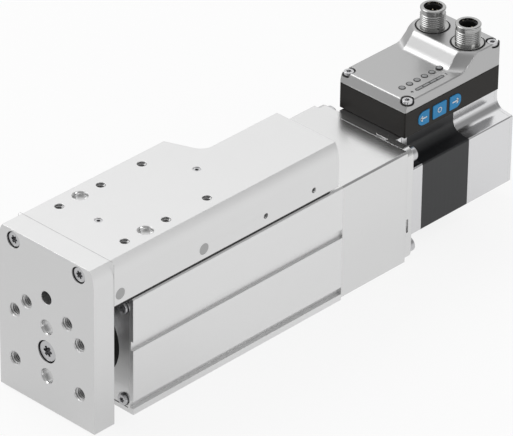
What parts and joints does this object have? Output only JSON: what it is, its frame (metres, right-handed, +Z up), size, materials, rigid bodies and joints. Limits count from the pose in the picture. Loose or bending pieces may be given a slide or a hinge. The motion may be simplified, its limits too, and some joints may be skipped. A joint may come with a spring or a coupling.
{
  "type": "miniature linear slide",
  "caption": "Electric mini slide: table and yoke on a guide rail, pushed by a spindle, with motor and key-operated controller built on behind.",
  "frame": {"origin": "centre of the body's bottom face", "axes": "+X the way the table and yoke move out, +Y the side with the keys, +Z up"},
  "size_m": [0.2756, 0.0584, 0.0951],
  "materials": {
    "body": "satin anodised, extruded along its length",
    "table": "fine satin anodised",
    "housing": "satin anodised",
    "motor_silver": "satin cast and machined",
    "stator_black": "satin black lamination stack",
    "cover_silver": "silver lacquer with a soft sheen",
    "control_dark": "fine matte moulding",
    "key_blue": "soft touch key",
    "black_rubber": "matte",
    "spider_rubber": "matte",
    "screw_steel": "bright plated",
    "ground_steel": "ground",
    "bush_bronze": "turned",
    "hub_aluminium": "turned",
    "rotor_steel": "ground",
    "winding_copper": "lacquered wire",
    "board_green": "solder mask",
    "lamp_lens": "smoky lens",
    "connector_metal": "nickel plated, threaded",
    "insert_black": "moulded",
    "pin_gold": "gold plated"
  },
  "bodies": {
    "frame": {"base_profile": "body", "coupling_housing": "housing", "adapter_plate": "housing", "front_cap": "housing", "motor_front_flange": "motor_silver", "motor_rear_cap": "motor_silver", "motor_end_plate": "motor_silver", "stator": "stator_black", "controller_cover": "cover_silver", "controller_base": "control_dark", "rod_wiper": "black_rubber", "controller_gasket": "black_rubber", "connector_seals": "black_rubber", "front_cap_screws": "screw_steel", "runner_block_screws": "screw_steel", "housing_screws": "screw_steel", "motor_screws": "screw_steel", "motor_tie_screws": "screw_steel", "controller_cover_screws": "screw_steel", "circuit_board_screws": "screw_steel", "runner_block_front": "ground_steel", "runner_block_rear": "ground_steel", "spindle_bearing_outer_rings": "ground_steel", "motor_bearing_outer_rings": "ground_steel", "bearing_lock_ring": "ground_steel", "rod_guide_bush": "bush_bronze", "stator_windings": "winding_copper", "circuit_board": "board_green", "key_board": "board_green", "encoder_board": "board_green", "indicator_lenses": "lamp_lens", "level_bar_window": "lamp_lens", "connector_shells": "connector_metal", "connector_inserts": "insert_black", "connector_pins": "pin_gold"},
    "drive": {"spindle": "ground_steel", "spindle_bearing_inner_rings": "ground_steel", "spindle_lock_nut": "ground_steel", "coupling_front_hub": "hub_aluminium", "coupling_spider": "spider_rubber", "coupling_rear_hub": "hub_aluminium", "motor_shaft": "ground_steel", "rotor": "rotor_steel", "motor_bearing_inner_rings": "ground_steel", "encoder_magnet": "rotor_steel"},
    "slide": {"table": "table", "yoke_plate": "table", "yoke_cap_screws": "screw_steel", "yoke_centre_screw": "screw_steel", "guide_rail": "ground_steel", "rail_screws": "screw_steel", "push_rod": "ground_steel", "spindle_nut": "ground_steel", "nut_buffers": "black_rubber", "side_plugs": "screw_steel", "table_set_screws": "screw_steel"},
    "retract_key": {"key_retract": "key_blue"},
    "centre_key": {"key_centre": "key_blue"},
    "advance_key": {"key_advance": "key_blue"}
  },
  "joints": [
    {"name": "table_slide", "type": "slide", "parent": "frame", "child": "slide", "axis": [1, 0, 0], "range_m": [0, 0.075]},
    {"name": "spindle_turn", "type": "hinge", "parent": "frame", "child": "drive", "pos_m": [0, 0, 0.03], "axis": [1, 0, 0], "range_deg": [-2700, 0]},
    {"name": "retract_press", "type": "slide", "parent": "frame", "child": "retract_key", "axis": [0, -1, 0], "range_m": [0, 0.0004], "stiffness_N_per_m": 1500},
    {"name": "centre_press", "type": "slide", "parent": "frame", "child": "centre_key", "axis": [0, -1, 0], "range_m": [0, 0.0004], "stiffness_N_per_m": 1500},
    {"name": "advance_press", "type": "slide", "parent": "frame", "child": "advance_key", "axis": [0, -1, 0], "range_m": [0, 0.0004], "stiffness_N_per_m": 1500}
  ],
  "couplings": [
    {"joint": "spindle_turn", "follows": "table_slide", "rad_per_m": -628.32}
  ]
}
